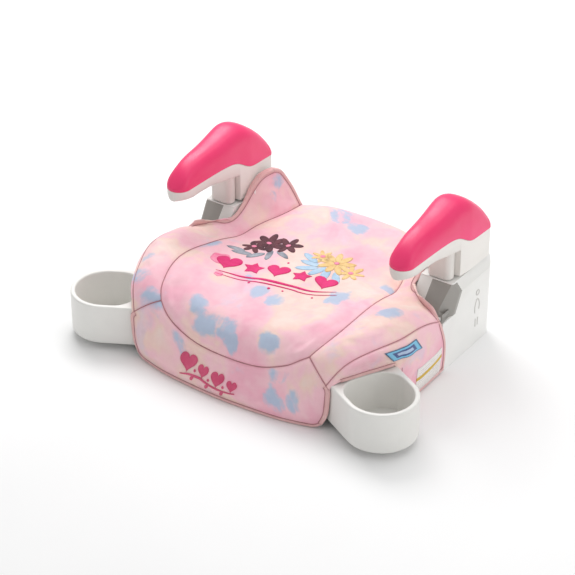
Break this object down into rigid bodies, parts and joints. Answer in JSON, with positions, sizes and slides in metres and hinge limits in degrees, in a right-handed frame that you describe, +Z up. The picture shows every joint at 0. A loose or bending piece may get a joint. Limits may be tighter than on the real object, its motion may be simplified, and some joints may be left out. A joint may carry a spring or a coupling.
{
  "type": "booster seat",
  "caption": "Backless child booster seat with padded cover, raised rear wings, height-adjustable armrests and slide-out cup holders.",
  "frame": {"origin": "on the floor under the middle of the object", "axes": "+X across the seat to the right-hand armrest (seen from the front, the right side of the view), +Y to the rear, +Z up; the front edge faces -Y"},
  "size_m": [0.531, 0.3605, 0.2305],
  "materials": {
    "white_plastic": "satin moulded plastic with a fine texture",
    "grey_plastic": "satin grey moulded plastic",
    "pink_plastic": "soft-gloss moulded plastic",
    "fabric": "padded pastel tie-dye knit",
    "foam": "open-cell foam",
    "steel": "zinc-plated",
    "tag": "woven",
    "label": "printed film"
  },
  "bodies": {
    "base": {"cover_centre_panel": "fabric", "cover_clips": "grey_plastic", "cover_front_panel": "fabric", "cover_left_bolster": "fabric", "cover_left_skirt": "fabric", "cover_left_wing": "fabric", "cover_right_bolster": "fabric", "cover_right_skirt": "fabric", "cover_right_wing": "fabric", "foam_pad": "foam", "left_armrest_guide": "grey_plastic", "left_cup_spring": "steel", "left_cup_track": "grey_plastic", "left_guide_screws": "steel", "left_side_trim": "grey_plastic", "left_track_screws": "steel", "right_armrest_guide": "grey_plastic", "right_cup_spring": "steel", "right_cup_track": "grey_plastic", "right_guide_screws": "steel", "right_side_trim": "grey_plastic", "right_track_screws": "steel", "seat_shell": "white_plastic", "side_label": "label", "side_tag": "tag"},
    "left_armrest": {"left_armrest_body": "white_plastic", "left_armrest_cover": "pink_plastic", "left_armrest_screws": "steel", "left_latch_spring": "steel"},
    "left_latch": {"left_latch_button": "white_plastic"},
    "left_cup": {"left_cup_holder": "white_plastic"},
    "right_armrest": {"right_armrest_body": "white_plastic", "right_armrest_cover": "pink_plastic", "right_armrest_screws": "steel", "right_latch_spring": "steel"},
    "right_latch": {"right_latch_button": "white_plastic"},
    "right_cup": {"right_cup_holder": "white_plastic"}
  },
  "joints": [
    {"name": "left_armrest_height", "type": "slide", "parent": "base", "child": "left_armrest", "axis": [0, 0, 1], "range_m": [0, 0.03]},
    {"name": "left_latch_press", "type": "slide", "parent": "left_armrest", "child": "left_latch", "axis": [0, -1, 0], "range_m": [0, 0.004], "stiffness_N_per_m": 300, "springref_m": -0.002, "deforming": ["left_latch_spring"]},
    {"name": "left_cup_slide", "type": "slide", "parent": "base", "child": "left_cup", "axis": [0.8832, 0.4691, 0], "range_m": [0, 0.092]},
    {"name": "right_armrest_height", "type": "slide", "parent": "base", "child": "right_armrest", "axis": [0, 0, 1], "range_m": [0, 0.03]},
    {"name": "right_latch_press", "type": "slide", "parent": "right_armrest", "child": "right_latch", "axis": [0, -1, 0], "range_m": [0, 0.004], "stiffness_N_per_m": 300, "springref_m": -0.002, "deforming": ["right_latch_spring"]},
    {"name": "right_cup_slide", "type": "slide", "parent": "base", "child": "right_cup", "axis": [-0.8832, 0.4691, 0], "range_m": [0, 0.092]}
  ]
}
